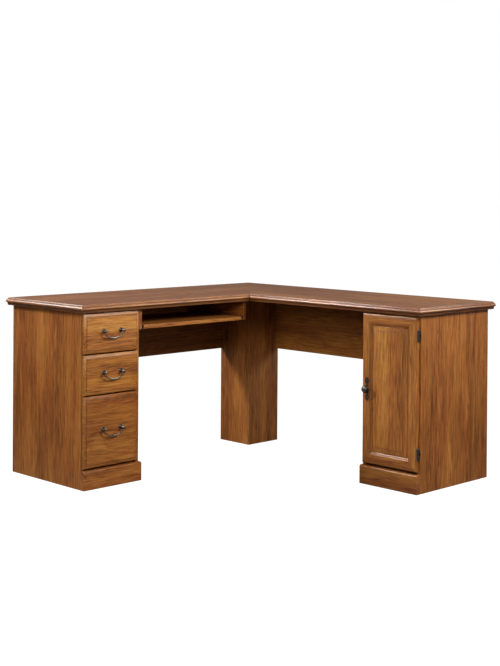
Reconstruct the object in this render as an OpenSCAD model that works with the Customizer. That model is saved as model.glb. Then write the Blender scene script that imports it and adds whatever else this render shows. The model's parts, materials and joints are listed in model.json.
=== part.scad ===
// Corner desk: an L-shaped top on two pedestals and a corner leg.
// Origin at the middle of the footprint on the floor, +Z up. The two back edges meet at the
// far left corner (-X, +Y). The left wing runs along Y and faces +X, with three drawers in its
// pedestal and a sliding keyboard shelf. The right wing runs along X and faces -Y, with a
// cupboard in its pedestal.

/* [Desk] */
// Overall length of the right wing along the back
right_wing_length = 1512; // [1450:1:1700]
// Overall length of the left wing along the side
left_wing_length = 1465; // [1450:1:1650]
// Height of the writing surface above the floor
desk_height = 752; // [745:1:760]
// Depth of the left wing's top
left_wing_depth = 541; // [535:1:600]
// Depth of the right wing's top
right_wing_depth = 522; // [520:1:600]
// Thickness of the top at its moulded edge
top_t = 32; // [30:1:36]
// How far the top stands past the outer pedestal panels
end_overhang = 26; // [20:1:35]
// How far the top stands past the back of the pedestals
back_overhang = 20.5; // [15:0.5:30]
// Width of the separate moulding strips around the top
moulding_w = 26; // [24:1:32]

/* [Boards] */
// Thickness of the panels, shelves and stretchers
board_t = 16; // [15:1:18]
// Thickness of the fibreboard backs
back_t = 3; // [2.5:0.5:4]

/* [Pedestals] */
// Width of each pedestal over its two panels
pedestal_w = 301; // [296:1:320]
// Depth of the left pedestal's panels
left_pedestal_d = 483; // [480:1:500]
// Depth of the right pedestal's panels
right_pedestal_d = 462.5; // [460:0.5:470]
// Height of the base moulding
base_h = 78; // [74:1:80]
// Thickness of the base moulding
base_t = 22.5; // [20:0.5:24]
// Radius of the base moulding's upper front edge
base_r = 8; // [4:1:10]

/* [Drawer fronts and door] */
// Width of the drawer fronts and of the door
front_w = 285; // [282:1:286]
// Gap between a front and the edges of the panels behind it
front_gap = 1.5; // [1.5:0.1:2]
// Width of the bevel around a drawer front
bevel_w = 12; // [8:1:14]
// Depth of the bevel at a drawer front's edge
bevel_d = 6; // [3:0.5:7]
// Distance from the end panel's outer face to the drawer fronts
drawer_inset = 3; // [2:0.5:5]
// Distance from the end panel's outer face to the door
door_inset = 8; // [8:0.5:8.5]
// Lower edge of the door above the floor
door_bottom = 88; // [84:1:92]
// Upper edge of the door above the floor
door_top = 713; // [708:1:714]
// Width of the door's stiles and rails
stile_w = 50; // [46:1:56]

/* [Drawers] */
// Length of the drawer slides
slide_len = 400; // [380:10:420]
// Outside depth of the drawer boxes
drawer_box_d = 430; // [420:5:440]
// Thickness of the drawer box sides
drawer_side_t = 12; // [10:1:12]

/* [Keyboard shelf] */
// Width of the gap between the two hanging brackets
shelf_bay = 599; // [590:1:620]
// Depth of the keyboard shelf
shelf_d = 350; // [320:5:360]
// Height of the shelf's underside above the floor
shelf_z = 633; // [630:1:640]
// Depth of the hanging brackets
bracket_d = 380; // [360:5:384]

/* [Corner leg and modesty panels] */
// Width of each side of the corner leg
leg_w = 197.5; // [180:0.5:220]
// Distance of the leg's corner from the left wing's back edge
leg_from_left = 300; // [290:1:310]
// Distance of the leg's corner from the right wing's back edge
leg_from_back = 283; // [270:1:290]
// Lower edge of the modesty panels above the floor
modesty_z = 450.5; // [420:0.5:480]

/* [Handles] */
// Distance between a pull's two posts
post_spacing = 89; // [80:1:100]
// How far the bail's pivot stands out from the drawer front
pivot_out = 16; // [15:0.5:18]
// How far the bail hangs below its pivot
bail_drop = 29.5; // [26:0.5:34]
// Diameter of the door knob
knob_d = 32; // [28:1:34]

/* [Hidden] */
$fn = 48;
eps = 0.01;

// Colours
oak = [0.62, 0.40, 0.23];
oak_light = [0.68, 0.46, 0.30];
fibreboard = [0.45, 0.31, 0.20];
drawer_side = [0.78, 0.68, 0.54];
steel = [0.72, 0.72, 0.73];
dark_steel = [0.13, 0.12, 0.12];
pewter = [0.36, 0.31, 0.26];

// Corners of the top, seen from above
back_x = -right_wing_length/2;
right_x = right_wing_length/2;
back_y = left_wing_length/2;
front_y = -left_wing_length/2;
inner_x = back_x + left_wing_depth;
inner_y = back_y - right_wing_depth;
top_z = desk_height - top_t;

// Pedestal corners
left_outer_y = front_y + end_overhang;
left_back_x = back_x + back_overhang;
left_front_x = left_back_x + left_pedestal_d;
right_outer_x = right_x - end_overhang;
right_back_y = back_y - back_overhang;
right_front_y = right_back_y - right_pedestal_d;

// Corner leg and modesty panels
leg_x = back_x + leg_from_left;
leg_y = back_y - leg_from_back;
modesty_x = leg_x - leg_w;
modesty_y = leg_y + leg_w;

// Bottom boards end behind the base mouldings and under the fronts
bottom_z = 60;
front_t = 16;
front_y0 = -front_gap - front_t;
quirk = 1;

// Drawers, top to bottom: [lower edge, upper edge] of the front
drawer_z = [[552, 714], [383, 545], [87, 376.5]];
// Distances of a drawer box's lower and upper edge from its front's
box_rise = 16;
box_fall = 24;
post_rise = 8;
slide_gap = 12.5;
slide_h = 35;
slide_sheet = 1.2;
ball_gap = 2;
glue_gap = 0.2;
groove_z = 10;
groove_t = 4;
groove_d = 6;

// Keyboard shelf
bay_y0 = left_outer_y + pedestal_w + board_t;
bay_y1 = bay_y0 + shelf_bay;
shelf_slide_h = 17;
shelf_front_x = left_front_x;

// Hinges, in the pedestal's own frame: across from its outer face, back from its panel edges
hinge_x = 2.5;
hinge_y = -13.5;
hinge_z = [162, 639];
knuckle_r = 5;
pin_r = 2.5;
running_r = 2.55;
knuckle_half = 7;
barrel_half = 20;
leaf_t = 1.2;
leaf_w = 30;
leaf_gap = 0.5;

// Cupboard fittings
shelf_row_y = [60, 390];
shelf_hole_z = [280, 344, 408, 472, 536];
cupboard_shelf_hole = 2;
peg_r = 2.5;
knob_x = 266.5;
knob_z = 398;

function arc(cx, cy, r, a0, a1, n) =
    [for (i = [0:n]) [cx + r*cos(a0 + (a1 - a0)*i/n), cy + r*sin(a0 + (a1 - a0)*i/n)]];

// Placement: each pedestal is drawn with X across from its outer face, Y back from the front
// edges of its panels
module at_left() {
    translate([left_front_x, left_outer_y, 0]) rotate([0, 0, 90]) children();
}
module at_right() {
    translate([right_outer_x, right_front_y, 0]) mirror([1, 0, 0]) children();
}
// Solid box from one corner to the opposite one
module block(a, b) {
    translate(a) cube(b - a);
}
// Shape drawn in X and Z, given thickness along +Y
module upright(t) {
    rotate([90, 0, 0]) mirror([0, 0, 1]) linear_extrude(t) children();
}

// ---------- Top ----------

// Section of the top's moulding: X inward from the outermost edge, Y up to the top face. Below a
// small round and a step it swells to the outermost edge, then a cove takes it back in.
lip_r = 4;
step_x = 10;
step_y = -6;
swell_r = 9;
cove_r = 10;
cove_y = -28;
function moulding_section() = concat(
    [[moulding_w, 0]],
    arc(step_x + lip_r, -lip_r, lip_r, 90, 180, 6),
    [[step_x, step_y]],
    arc(swell_r, step_y - swell_r, swell_r, 90, 180, 8),
    arc(0, cove_y, cove_r, 90, 0, 8),
    [[cove_r, -top_t], [moulding_w, -top_t]]
);
// Moulding along +X with its outer edge on Y = 0
module moulding_bar(len) {
    translate([0, 0, desk_height]) rotate([90, 0, 90]) linear_extrude(len) polygon(moulding_section());
}
module cut_to(plan) {
    intersection() {
        children();
        translate([0, 0, top_z - 1]) linear_extrude(top_t + 2) polygon(plan);
    }
}
module left_front_moulding() {
    color(oak_light)
    cut_to([[inner_x, front_y], [inner_x, inner_y],
            [inner_x - moulding_w, inner_y + moulding_w], [inner_x - moulding_w, front_y + moulding_w]])
    translate([inner_x, front_y, 0]) rotate([0, 0, 90])
    moulding_bar(inner_y - front_y + moulding_w);
}
module left_end_moulding() {
    color(oak_light)
    cut_to([[back_x, front_y], [inner_x, front_y],
            [inner_x - moulding_w, front_y + moulding_w], [back_x, front_y + moulding_w]])
    translate([back_x, front_y, 0]) moulding_bar(left_wing_depth);
}
module right_front_moulding() {
    color(oak_light)
    cut_to([[inner_x, inner_y], [right_x, inner_y],
            [right_x - moulding_w, inner_y + moulding_w], [inner_x - moulding_w, inner_y + moulding_w]])
    translate([inner_x - moulding_w, inner_y, 0]) moulding_bar(right_x - inner_x + moulding_w);
}
module right_end_moulding() {
    color(oak_light)
    cut_to([[right_x, inner_y], [right_x, back_y],
            [right_x - moulding_w, back_y], [right_x - moulding_w, inner_y + moulding_w]])
    translate([right_x, inner_y, 0]) rotate([0, 0, 90]) moulding_bar(right_wing_depth);
}
// The boards meet on a mitre from the inner corner to the back corner
module left_top_board() {
    color(oak_light)
    translate([0, 0, top_z]) linear_extrude(top_t)
    polygon([[back_x, back_y], [back_x, front_y + moulding_w],
             [inner_x - moulding_w, front_y + moulding_w], [inner_x - moulding_w, inner_y + moulding_w]]);
}
module right_top_board() {
    color(oak_light)
    translate([0, 0, top_z]) linear_extrude(top_t)
    polygon([[back_x, back_y], [inner_x - moulding_w, inner_y + moulding_w],
             [right_x - moulding_w, inner_y + moulding_w], [right_x - moulding_w, back_y]]);
}
// Rails across the top of each pedestal, front and back, and the block inside the corner leg
module top_rails() {
    rail_d = 80;
    leg_block = [60, 60, 45];
    color(oak) {
        at_left() for (y = [0, left_pedestal_d - rail_d])
            block([board_t, y, top_z - board_t], [pedestal_w - board_t, y + rail_d, top_z]);
        at_right() for (y = [0, right_pedestal_d - rail_d])
            block([board_t, y, top_z - board_t], [pedestal_w - board_t, y + rail_d, top_z]);
        translate([leg_x - board_t - leg_block[0], leg_y + board_t, top_z - leg_block[2]]) cube(leg_block);
    }
}
// Steel plates screwed across the mitre, one each side of the corner leg
module mitre_plates() {
    plate_len = 110;
    plate_w = 28;
    plate_t = 2.5;
    screw_r = 4;
    screw_h = 1.6;
    angle = atan2(right_wing_depth, left_wing_depth);
    color(steel)
    for (s = [0.26, 0.80])
    translate([back_x + s*left_wing_depth, back_y - s*right_wing_depth, top_z])
    rotate([0, 0, 90 - angle]) {
        block([-plate_len/2, -plate_w/2, -plate_t], [plate_len/2, plate_w/2, 0]);
        for (x = [-40, -18, 18, 40])
            translate([x, 0, -plate_t - screw_h]) cylinder(r = screw_r, h = screw_h + eps);
    }
}

// ---------- Pedestal carcases ----------

// Holes for shelf pegs in a cupboard panel's inner face, which is at x, going outward
module peg_holes(x, outward) {
    depth = 9;
    for (y = shelf_row_y, z = shelf_hole_z)
        translate([x, y, z]) rotate([0, 90*outward, 0])
        translate([0, 0, -1]) cylinder(r = peg_r, h = depth + 1);
}
// Back board behind the panels' rear edges
module back_board(d) {
    margin = 2;
    block([margin, d, bottom_z + 6], [pedestal_w - margin, d + back_t, top_z - margin]);
}
module bottom_board(d) {
    block([board_t, 0, bottom_z], [pedestal_w - board_t, d, bottom_z + board_t]);
}
// Base moulding in front of the panels, with a rounded upper edge
module base_moulding() {
    rotate([90, 0, 90]) linear_extrude(pedestal_w) polygon(concat(
        [[0, 0], [0, base_h]],
        arc(-base_t + base_r, base_h - base_r, base_r, 90, 180, 8),
        [[-base_t, 0]]
    ));
}
module left_end_panel() {
    color(oak) at_left() block([0, 0, 0], [board_t, left_pedestal_d, top_z]);
}
module left_inner_panel() {
    color(oak) at_left() block([pedestal_w - board_t, 0, 0], [pedestal_w, left_pedestal_d, top_z]);
}
module left_back_panel() {
    color(fibreboard) at_left() back_board(left_pedestal_d);
}
module left_bottom_board() {
    color(oak) difference() {
        at_left() bottom_board(left_pedestal_d);
        cam_pockets();
    }
}
module left_base_moulding() {
    color(oak) at_left() base_moulding();
}
module right_end_panel() {
    color(oak) at_right() difference() {
        block([0, 0, 0], [board_t, right_pedestal_d, top_z]);
        peg_holes(board_t, -1);
    }
}
module right_inner_panel() {
    color(oak) at_right() difference() {
        block([pedestal_w - board_t, 0, 0], [pedestal_w, right_pedestal_d, top_z]);
        peg_holes(pedestal_w - board_t, 1);
    }
}
module right_back_panel() {
    color(fibreboard) at_right() back_board(right_pedestal_d);
}
module right_bottom_board() {
    color(oak) difference() {
        at_right() bottom_board(right_pedestal_d);
        cam_pockets();
    }
}
module right_base_moulding() {
    color(oak) at_right() base_moulding();
}
// Nail heads around the two backs
module nail_rows(d) {
    head_r = 2.6;
    head_t = 0.8;
    rows = 7;
    lowest = 90;
    highest = top_z - 30;
    edge = 10;
    for (i = [0:rows - 1], x = [edge, pedestal_w - edge])
        translate([x, d + back_t, lowest + i*(highest - lowest)/(rows - 1)])
        rotate([-90, 0, 0]) cylinder(r = head_r, h = head_t, $fn = 16);
}
module back_nails() {
    color(steel) {
        at_left() nail_rows(left_pedestal_d);
        at_right() nail_rows(right_pedestal_d);
    }
}

// ---------- Corner leg and modesty panels ----------

module corner_leg_left() {
    color(oak) block([leg_x - leg_w, leg_y, 0], [leg_x, leg_y + board_t, top_z]);
}
module corner_leg_right() {
    color(oak) block([leg_x - board_t, leg_y + board_t, 0], [leg_x, leg_y + leg_w, top_z]);
}
module left_modesty_panel() {
    color(oak) difference() {
        block([modesty_x, left_outer_y + pedestal_w, modesty_z], [modesty_x + board_t, leg_y, top_z]);
        cam_pockets();
    }
}
module right_modesty_panel() {
    color(oak) difference() {
        block([leg_x, modesty_y - board_t, modesty_z], [right_outer_x - pedestal_w, modesty_y, top_z]);
        cam_pockets();
    }
}
// Places of the cam locks, near the ends of the boards that they hold
cam_r = 7.5;
cam_h = 12;
cam_edge = 34;
cam_from_front = 50;
cam_rows_z = [modesty_z + 45, top_z - 45];
module at_cams() {
    for (z = cam_rows_z) {
        for (y = [left_outer_y + pedestal_w + cam_edge, leg_y - cam_edge])
            translate([modesty_x, y, z]) rotate([0, 90, 0]) children();
        for (x = [leg_x + cam_edge, right_outer_x - pedestal_w - cam_edge])
            translate([x, modesty_y, z]) rotate([90, 0, 0]) children();
    }
    for (x = [board_t + cam_edge, pedestal_w - board_t - cam_edge]) {
        for (y = [cam_from_front, left_pedestal_d - cam_from_front])
            at_left() translate([x, y, bottom_z]) children();
        for (y = [cam_from_front, right_pedestal_d - cam_from_front])
            at_right() translate([x, y, bottom_z]) children();
    }
}
module cam_pockets() {
    at_cams() translate([0, 0, -1]) cylinder(r = cam_r, h = cam_h + 1);
}
// Cam discs with a cross slot in the outer face
module cam_locks() {
    slot_d = 2.5;
    slot_len = 8;
    slot_w = 1.8;
    color(steel) at_cams() difference() {
        cylinder(r = cam_r - 0.1, h = cam_h);
        for (a = [45, 135]) rotate([0, 0, a])
            translate([-slot_len/2, -slot_w/2, -1]) cube([slot_len, slot_w, slot_d + 1]);
    }
}

// ---------- Slides ----------

// Fixed member on the plane Y = 0, running along +X, with lips toward +Y
module slide_channel(len, h) {
    lip = 8.5;
    for (s = [-1, 1]) translate([0, slide_sheet - eps, s*(h/2 - slide_sheet/2) - slide_sheet/2])
        cube([len, lip, slide_sheet]);
    translate([0, 0, -h/2]) cube([len, slide_sheet, h]);
}
// Moving member on the plane Y = slide_gap, with lips that run inside the channel's
module slide_runner(len, h) {
    lip_y = 3.5;
    lip_z = h/2 - slide_sheet - ball_gap - slide_sheet/2;
    lip = slide_gap - lip_y - slide_sheet;
    for (s = [-1, 1]) translate([0, lip_y, s*lip_z - slide_sheet/2]) cube([len, lip + eps, slide_sheet]);
    translate([0, slide_gap - slide_sheet, -h/2]) cube([len, slide_sheet, h]);
}
// Both sides of a drawer: children are drawn along +X with +Y inward
module at_drawer_slides(i) {
    z = (drawer_z[i][0] + box_rise + drawer_z[i][1] - box_fall)/2;
    slide_start = 3;
    at_left() {
        translate([board_t, slide_start, z]) rotate([0, 0, 90]) mirror([0, 1, 0]) children();
        translate([pedestal_w - board_t, slide_start, z]) rotate([0, 0, 90]) children();
    }
}
module drawer_slide_channels() {
    color(steel) for (i = [0:2]) at_drawer_slides(i) slide_channel(slide_len, slide_h);
}
module drawer_runners(i) {
    color(steel) at_drawer_slides(i) slide_runner(slide_len, slide_h);
}
module at_shelf_slides() {
    x = shelf_front_x - 3;
    z = shelf_z + board_t/2;
    translate([x, bay_y0, z]) mirror([1, 0, 0]) children();
    translate([x, bay_y1, z]) rotate([0, 0, 180]) children();
}
module keyboard_slide_channels() {
    color(dark_steel) at_shelf_slides() slide_channel(shelf_d - 10, shelf_slide_h);
}
module keyboard_slide_runners() {
    color(dark_steel) at_shelf_slides() slide_runner(shelf_d - 10, shelf_slide_h);
}

// ---------- Keyboard shelf ----------

module left_shelf_bracket() {
    color(oak)
    block([shelf_front_x - bracket_d, bay_y0 - board_t, shelf_z - 1], [shelf_front_x, bay_y0, top_z]);
}
module right_shelf_bracket() {
    color(oak)
    block([shelf_front_x - bracket_d, bay_y1, shelf_z - 1], [shelf_front_x, bay_y1 + board_t, top_z]);
}
// Shelf with a softened upper front edge
module keyboard_shelf() {
    edge_r = 3;
    color(oak)
    translate([shelf_front_x, bay_y0 + slide_gap, shelf_z]) rotate([90, 0, 0]) mirror([0, 0, 1])
    linear_extrude(shelf_bay - 2*slide_gap)
    polygon(concat(
        [[-shelf_d, 0], [-shelf_d, board_t]],
        arc(-edge_r, board_t - edge_r, edge_r, 90, 0, 6),
        [[0, 0]]
    ));
}

// ---------- Drawers ----------

function post_z(i) = (drawer_z[i][0] + drawer_z[i][1])/2 + post_rise;
pull_mid = drawer_inset + front_w/2;
bolt_r = 2;
// Section of a bolt from the back of the wood at y0 to y1, with its head behind the wood
function bolt_section(y0, y1) =
    [[0, y0 - 3], [2*bolt_r, y0 - 3], [2*bolt_r, y0], [bolt_r, y0], [bolt_r, y1]];
// The two bolts of a pull, widened by clear, as they pass through the wood
module pull_bolts(i, clear) {
    for (s = [-1, 1]) translate([pull_mid + s*post_spacing/2, front_y0 - 1, post_z(i)]) rotate([-90, 0, 0])
        cylinder(r = bolt_r + clear, h = front_t + drawer_side_t + 1);
}
// Slab with a bevelled border around a flat field that stands one quirk proud of it
module bevelled_front(w, h) {
    block([0, bevel_d, 0], [w, front_t, h]);
    hull() {
        block([0, bevel_d, 0], [w, bevel_d + 1, h]);
        block([bevel_w, quirk, bevel_w], [w - bevel_w, bevel_d, h - bevel_w]);
    }
    block([bevel_w + quirk, 0, bevel_w + quirk], [w - bevel_w - quirk, bevel_d, h - bevel_w - quirk]);
}
module drawer_front(i) {
    color(oak_light) at_left() difference() {
        translate([drawer_inset, front_y0, drawer_z[i][0]])
        bevelled_front(front_w, drawer_z[i][1] - drawer_z[i][0]);
        pull_bolts(i, 0.5);
    }
}
// Edges of a drawer box in the pedestal's frame
box_x0 = board_t + slide_gap;
box_x1 = pedestal_w - board_t - slide_gap;
box_y0 = -front_gap;
box_y1 = box_y0 + drawer_box_d;
function box_z0(i) = drawer_z[i][0] + box_rise;
function box_z1(i) = drawer_z[i][1] - box_fall;
// Two sides, an inner front and a back, grooved for the bottom
module drawer_box(i) {
    t = drawer_side_t;
    color(drawer_side) at_left() difference() {
        union() {
            for (x = [box_x0, box_x1 - t]) block([x, box_y0, box_z0(i)], [x + t, box_y1, box_z1(i)]);
            for (y = [box_y0, box_y1 - t])
                block([box_x0 + t + glue_gap, y, box_z0(i)], [box_x1 - t - glue_gap, y + t, box_z1(i)]);
        }
        block([box_x0 + t - groove_d, box_y0 + t - groove_d, box_z0(i) + groove_z],
              [box_x1 - t + groove_d, box_y1 - t + groove_d, box_z0(i) + groove_z + groove_t]);
        pull_bolts(i, 0.5);
    }
}
module drawer_bottom(i) {
    in = drawer_side_t - groove_d + glue_gap;
    color(fibreboard) at_left()
    block([box_x0 + in, box_y0 + in, box_z0(i) + groove_z],
          [box_x1 - in, box_y1 - in, box_z0(i) + groove_z + groove_t]);
}
// Cross bars that hanging files sit on, let in between the sides
module file_rails() {
    spacing = 318;
    first = 45;
    bar_h = 12;
    bar_t = 3;
    color(steel) at_left() for (y = [first, first + spacing])
        block([box_x0 + drawer_side_t, y, box_z1(2) - bar_h], [box_x1 - drawer_side_t, y + bar_t, box_z1(2)]);
}

// ---------- Pulls ----------

ball_r = 7;
bail_pin_r = 2;
// Post along -Y from the drawer's face: rosette, neck and ball, with its bolt and inner head
module pull_post() {
    rosette_r = 10;
    rosette_edge = 3.5;
    neck_r = 4.6;
    rotate([90, 0, 0]) rotate_extrude() polygon(concat(
        bolt_section(-front_t - drawer_side_t, 0),
        [[rosette_r, 0]],
        arc(rosette_r - rosette_edge, 1, rosette_edge, 0, 70, 4),
        [[neck_r + 1.9, 5.2], [neck_r + 0.6, 6.5], [neck_r, 9]],
        arc(0, pivot_out, ball_r, -52, 90, 12)
    ));
}
module pull_posts(i) {
    color(pewter) at_left() difference() {
        for (s = [-1, 1]) translate([pull_mid + s*post_spacing/2, front_y0, post_z(i)]) pull_post();
        translate([pull_mid, front_y0 - pivot_out, post_z(i)]) rotate([0, 90, 0])
            cylinder(r = bail_pin_r + 0.05, h = post_spacing + 40, center = true);
    }
}
// Centre line of the bail from one arm's end (a = 0) round to the other's (a = 180)
bail_half_w = post_spacing/2 + ball_r + 3.5;
bail_rings = 28;
bail_arm_r = 2.1;
bail_grip_r = 3.8;
function bail_x(a) = bail_half_w*cos(a);
function bail_z(a) = -bail_drop*pow(sin(a), 1.15);
function bail_r(a) = bail_arm_r + (bail_grip_r - bail_arm_r)*pow(sin(a), 8);
bail_path = [for (i = [0:bail_rings]) let (a = 180*i/bail_rings) [bail_x(a), bail_z(a), bail_r(a)]];
// Ring of points around the path at step i, square to the path
function bail_ring(i, sides) =
    let (p = bail_path[i], before = bail_path[max(i - 1, 0)], after = bail_path[min(i + 1, bail_rings)],
         along = atan2(after[1] - before[1], after[0] - before[0]))
    [for (k = [0:sides - 1]) let (f = 360*k/sides)
        [p[0] - p[2]*cos(f)*sin(along), p[2]*sin(f), p[1] + p[2]*cos(f)*cos(along)]];
module bail_tube() {
    sides = 12;
    skin = [for (i = [0:bail_rings - 1], k = [0:sides - 1])
        [i*sides + k, i*sides + (k + 1)%sides, (i + 1)*sides + (k + 1)%sides, (i + 1)*sides + k]];
    caps = [[for (k = [sides - 1:-1:0]) k], [for (k = [0:sides - 1]) bail_rings*sides + k]];
    polyhedron([for (i = [0:bail_rings]) each bail_ring(i, sides)], concat(skin, caps), convexity = 6);
}
// Bail with its two pins turned in through the balls from outside
module pull_bail(i) {
    bail_end_r = 2.9;
    bail_pin_len = 12;
    color(pewter) at_left() translate([pull_mid, front_y0 - pivot_out, post_z(i)]) {
        bail_tube();
        for (s = [-1, 1]) {
            translate([s*bail_half_w, 0, 0]) sphere(r = bail_end_r, $fn = 24);
            translate([s*(bail_half_w - bail_pin_len), 0, 0]) rotate([0, 90*s, 0])
                cylinder(r = bail_pin_r, h = bail_pin_len);
        }
    }
}

// ---------- Cupboard ----------

module cupboard_shelf() {
    side_gap = 0.5;
    z = shelf_hole_z[cupboard_shelf_hole] + peg_r;
    color(oak) at_right()
    block([board_t + side_gap, 20, z],
          [pedestal_w - board_t - side_gap, right_pedestal_d - 10, z + board_t]);
}
// Pegs in the panels' holes under the shelf, each with a collar against the panel
module shelf_pins() {
    z = shelf_hole_z[cupboard_shelf_hole];
    collar_h = 9;
    color(steel) at_right() for (y = shelf_row_y, side = [0, 1])
    translate([side == 0 ? board_t : pedestal_w - board_t, y, z]) rotate([0, side == 0 ? 90 : -90, 0]) {
        translate([0, 0, -8]) cylinder(r = peg_r - 0.05, h = 16);
        cylinder(r = peg_r, h = collar_h);
    }
}

// Section of a door stile or rail: X inward from the door's edge, Y back from its face
door_round_d = 5;
door_round_w = 18;
bead_w = 12;
bead_d = 8;
panel_groove = [9, 13];
groove_reach = 8;
function stile_section() = concat(
    [[0, front_t]],
    [for (a = [0:15:90]) [door_round_w*(1 - cos(a)), door_round_d*(1 - sin(a))]],
    [for (i = [0:5]) [stile_w - bead_w + bead_w*i/5, bead_d*(1 - cos(36*i))/2]],
    [[stile_w, panel_groove[0]], [stile_w - groove_reach, panel_groove[0]]],
    [[stile_w - groove_reach, panel_groove[1]], [stile_w, panel_groove[1]]],
    [[stile_w, front_t]]
);
door_h = door_top - door_bottom;
// One side of the frame along +X from 0 to len, mitred at both ends, drawn in X and Z
module frame_member(len) {
    intersection() {
        translate([len, 0, 0]) rotate([0, -90, 0]) linear_extrude(len) polygon(stile_section());
        upright(front_t) polygon([[glue_gap, 0], [len - glue_gap, 0],
            [len - stile_w - glue_gap, stile_w], [stile_w + glue_gap, stile_w]]);
    }
}
module door_frame() {
    color(oak_light) at_right() difference() {
        translate([door_inset, front_y0, door_bottom]) {
            frame_member(front_w);
            translate([front_w, 0, door_h]) rotate([0, 180, 0]) frame_member(front_w);
            translate([0, 0, door_h]) rotate([0, 90, 0]) frame_member(door_h);
            translate([front_w, 0, 0]) rotate([0, -90, 0]) frame_member(door_h);
        }
        for (z = hinge_z)
            block([door_inset - 1, -front_gap - leaf_t - 0.05, z - barrel_half - leaf_gap],
                  [door_inset + leaf_w + leaf_gap, 0, z + barrel_half + leaf_gap]);
        translate([knob_x, front_y0 - 1, knob_z]) rotate([-90, 0, 0])
            cylinder(r = bolt_r + 0.5, h = front_t + 2);
    }
}
// Panel held in the frame's groove, with a raised field
module door_panel() {
    tongue = 7;
    seat = 0.1;
    field_in = 21;
    field_y = 2.5;
    slope_y = [3.5, 8];
    x0 = door_inset + stile_w;
    x1 = door_inset + front_w - stile_w;
    z0 = door_bottom + stile_w;
    z1 = door_top - stile_w;
    color(oak_light) at_right() {
        block([x0 - tongue, front_y0 + panel_groove[0] + seat, z0 - tongue],
              [x1 + tongue, front_y0 + panel_groove[1] - seat, z1 + tongue]);
        hull() {
            block([x0 + 2, front_y0 + slope_y[1], z0 + 2], [x1 - 2, front_y0 + slope_y[1] + 2, z1 - 2]);
            block([x0 + field_in, front_y0 + slope_y[0], z0 + field_in],
                  [x1 - field_in, front_y0 + panel_groove[0], z1 - field_in]);
        }
        block([x0 + field_in + quirk, front_y0 + field_y, z0 + field_in + quirk],
              [x1 - field_in - quirk, front_y0 + panel_groove[0], z1 - field_in - quirk]);
    }
}
module at_hinges() {
    at_right() for (z = hinge_z) translate([hinge_x, hinge_y, z]) children();
}
// Leaf on the end panel's front edge, with the outer two knuckles
module hinge_frame_leaves() {
    gap = 0.3;
    len = barrel_half - knuckle_half - gap;
    color(dark_steel) at_hinges() difference() {
        union() {
            block([-leaf_t/2, -hinge_y - leaf_t, -barrel_half], [board_t - hinge_x - 1, -hinge_y, barrel_half]);
            for (s = [-1, 1]) translate([0, 0, s*(barrel_half + knuckle_half + gap)/2]) {
                cylinder(r = knuckle_r, h = len, center = true);
                translate([0, (knuckle_r - 1 - hinge_y)/2, 0])
                    cube([leaf_t, -hinge_y - knuckle_r + 1, len], center = true);
            }
        }
        cylinder(r = pin_r + 0.02, h = 3*barrel_half, center = true);
    }
}
// Leaf that wraps the door's edge and is let into its back, with the middle knuckle
module hinge_door_leaves() {
    side_x = door_inset - hinge_x - 0.4;
    back_y0 = -hinge_y - front_gap - leaf_t;
    color(dark_steel) at_hinges() difference() {
        union() {
            cylinder(r = knuckle_r, h = 2*knuckle_half, center = true);
            block([side_x - leaf_t, 0, -knuckle_half], [side_x, back_y0 + leaf_t, knuckle_half]);
            block([side_x - leaf_t, back_y0, -knuckle_half], [side_x + 3, back_y0 + leaf_t, knuckle_half]);
            block([side_x + 0.6, back_y0, -barrel_half], [side_x + leaf_w, back_y0 + leaf_t, barrel_half]);
        }
        cylinder(r = running_r, h = 3*barrel_half, center = true);
    }
}
// Pins with a turned tip above and below the barrel
module hinge_pins() {
    collar_r = 4.6;
    collar_h = 1.8;
    tip_r = 2;
    tip_z = barrel_half + 5.5;
    color(dark_steel) at_hinges() rotate_extrude() polygon(concat(
        arc(0, -tip_z, tip_r, -90, 20, 5),
        [[collar_r, -barrel_half - collar_h], [collar_r, -barrel_half], [pin_r, -barrel_half]],
        [[pin_r, barrel_half], [collar_r, barrel_half], [collar_r, barrel_half + collar_h]],
        arc(0, tip_z, tip_r, -20, 90, 5)
    ));
}
// Turned knob along -Y from the backplate, with its bolt and inner head: a foot, a neck, a
// rounded rim and a domed face
plate_t = 1.6;
module door_knob() {
    foot_r = 8.5;
    neck_r = 5;
    rim_r = 5;
    rim_y = 15.5;
    dome_r = 22.5;
    dome_y = 3.3;
    color(pewter) at_right() translate([knob_x, front_y0, knob_z])
    rotate([90, 0, 0]) rotate_extrude() polygon(concat(
        bolt_section(-front_t, plate_t),
        [[foot_r, plate_t], [foot_r, 2*plate_t], [neck_r + 1, 5], [neck_r, 8], [neck_r + 0.4, 10.5]],
        arc(knob_d/2 - rim_r, rim_y, rim_r, -50, 50, 8),
        arc(0, dome_y, dome_r, 54, 90, 6)
    ));
}
// Pierced plate behind the knob: a round seat and two scalloped lobes
module knob_backplate() {
    lobe_z = 34;
    lobe_half = 7;
    color(pewter) at_right() translate([knob_x, front_y0 - plate_t, knob_z]) upright(plate_t) difference() {
        union() {
            circle(r = 10.8);
            square([11.5, 70], center = true);
            for (s = [-1, 1]) {
                translate([0, s*lobe_z]) square([2*lobe_half + 2, 17], center = true);
                for (x = [-lobe_half, lobe_half], z = [-6, 0, 6])
                    translate([x, s*(lobe_z + z)]) circle(r = 3.5);
                translate([0, s*43.5]) circle(r = 5.5);
            }
        }
        circle(r = bolt_r + 0.5);
        for (s = [-1, 1]) {
            for (x = [-4.3, 4.3]) translate([x, s*lobe_z]) round_slot(2.8, 12);
            translate([0, s*19.5]) circle(r = 2);
        }
    }
}
// Slot with round ends
module round_slot(w, len) {
    square([w, len - w], center = true);
    for (s = [-1, 1]) translate([0, s*(len - w)/2]) circle(r = w/2);
}
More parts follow.
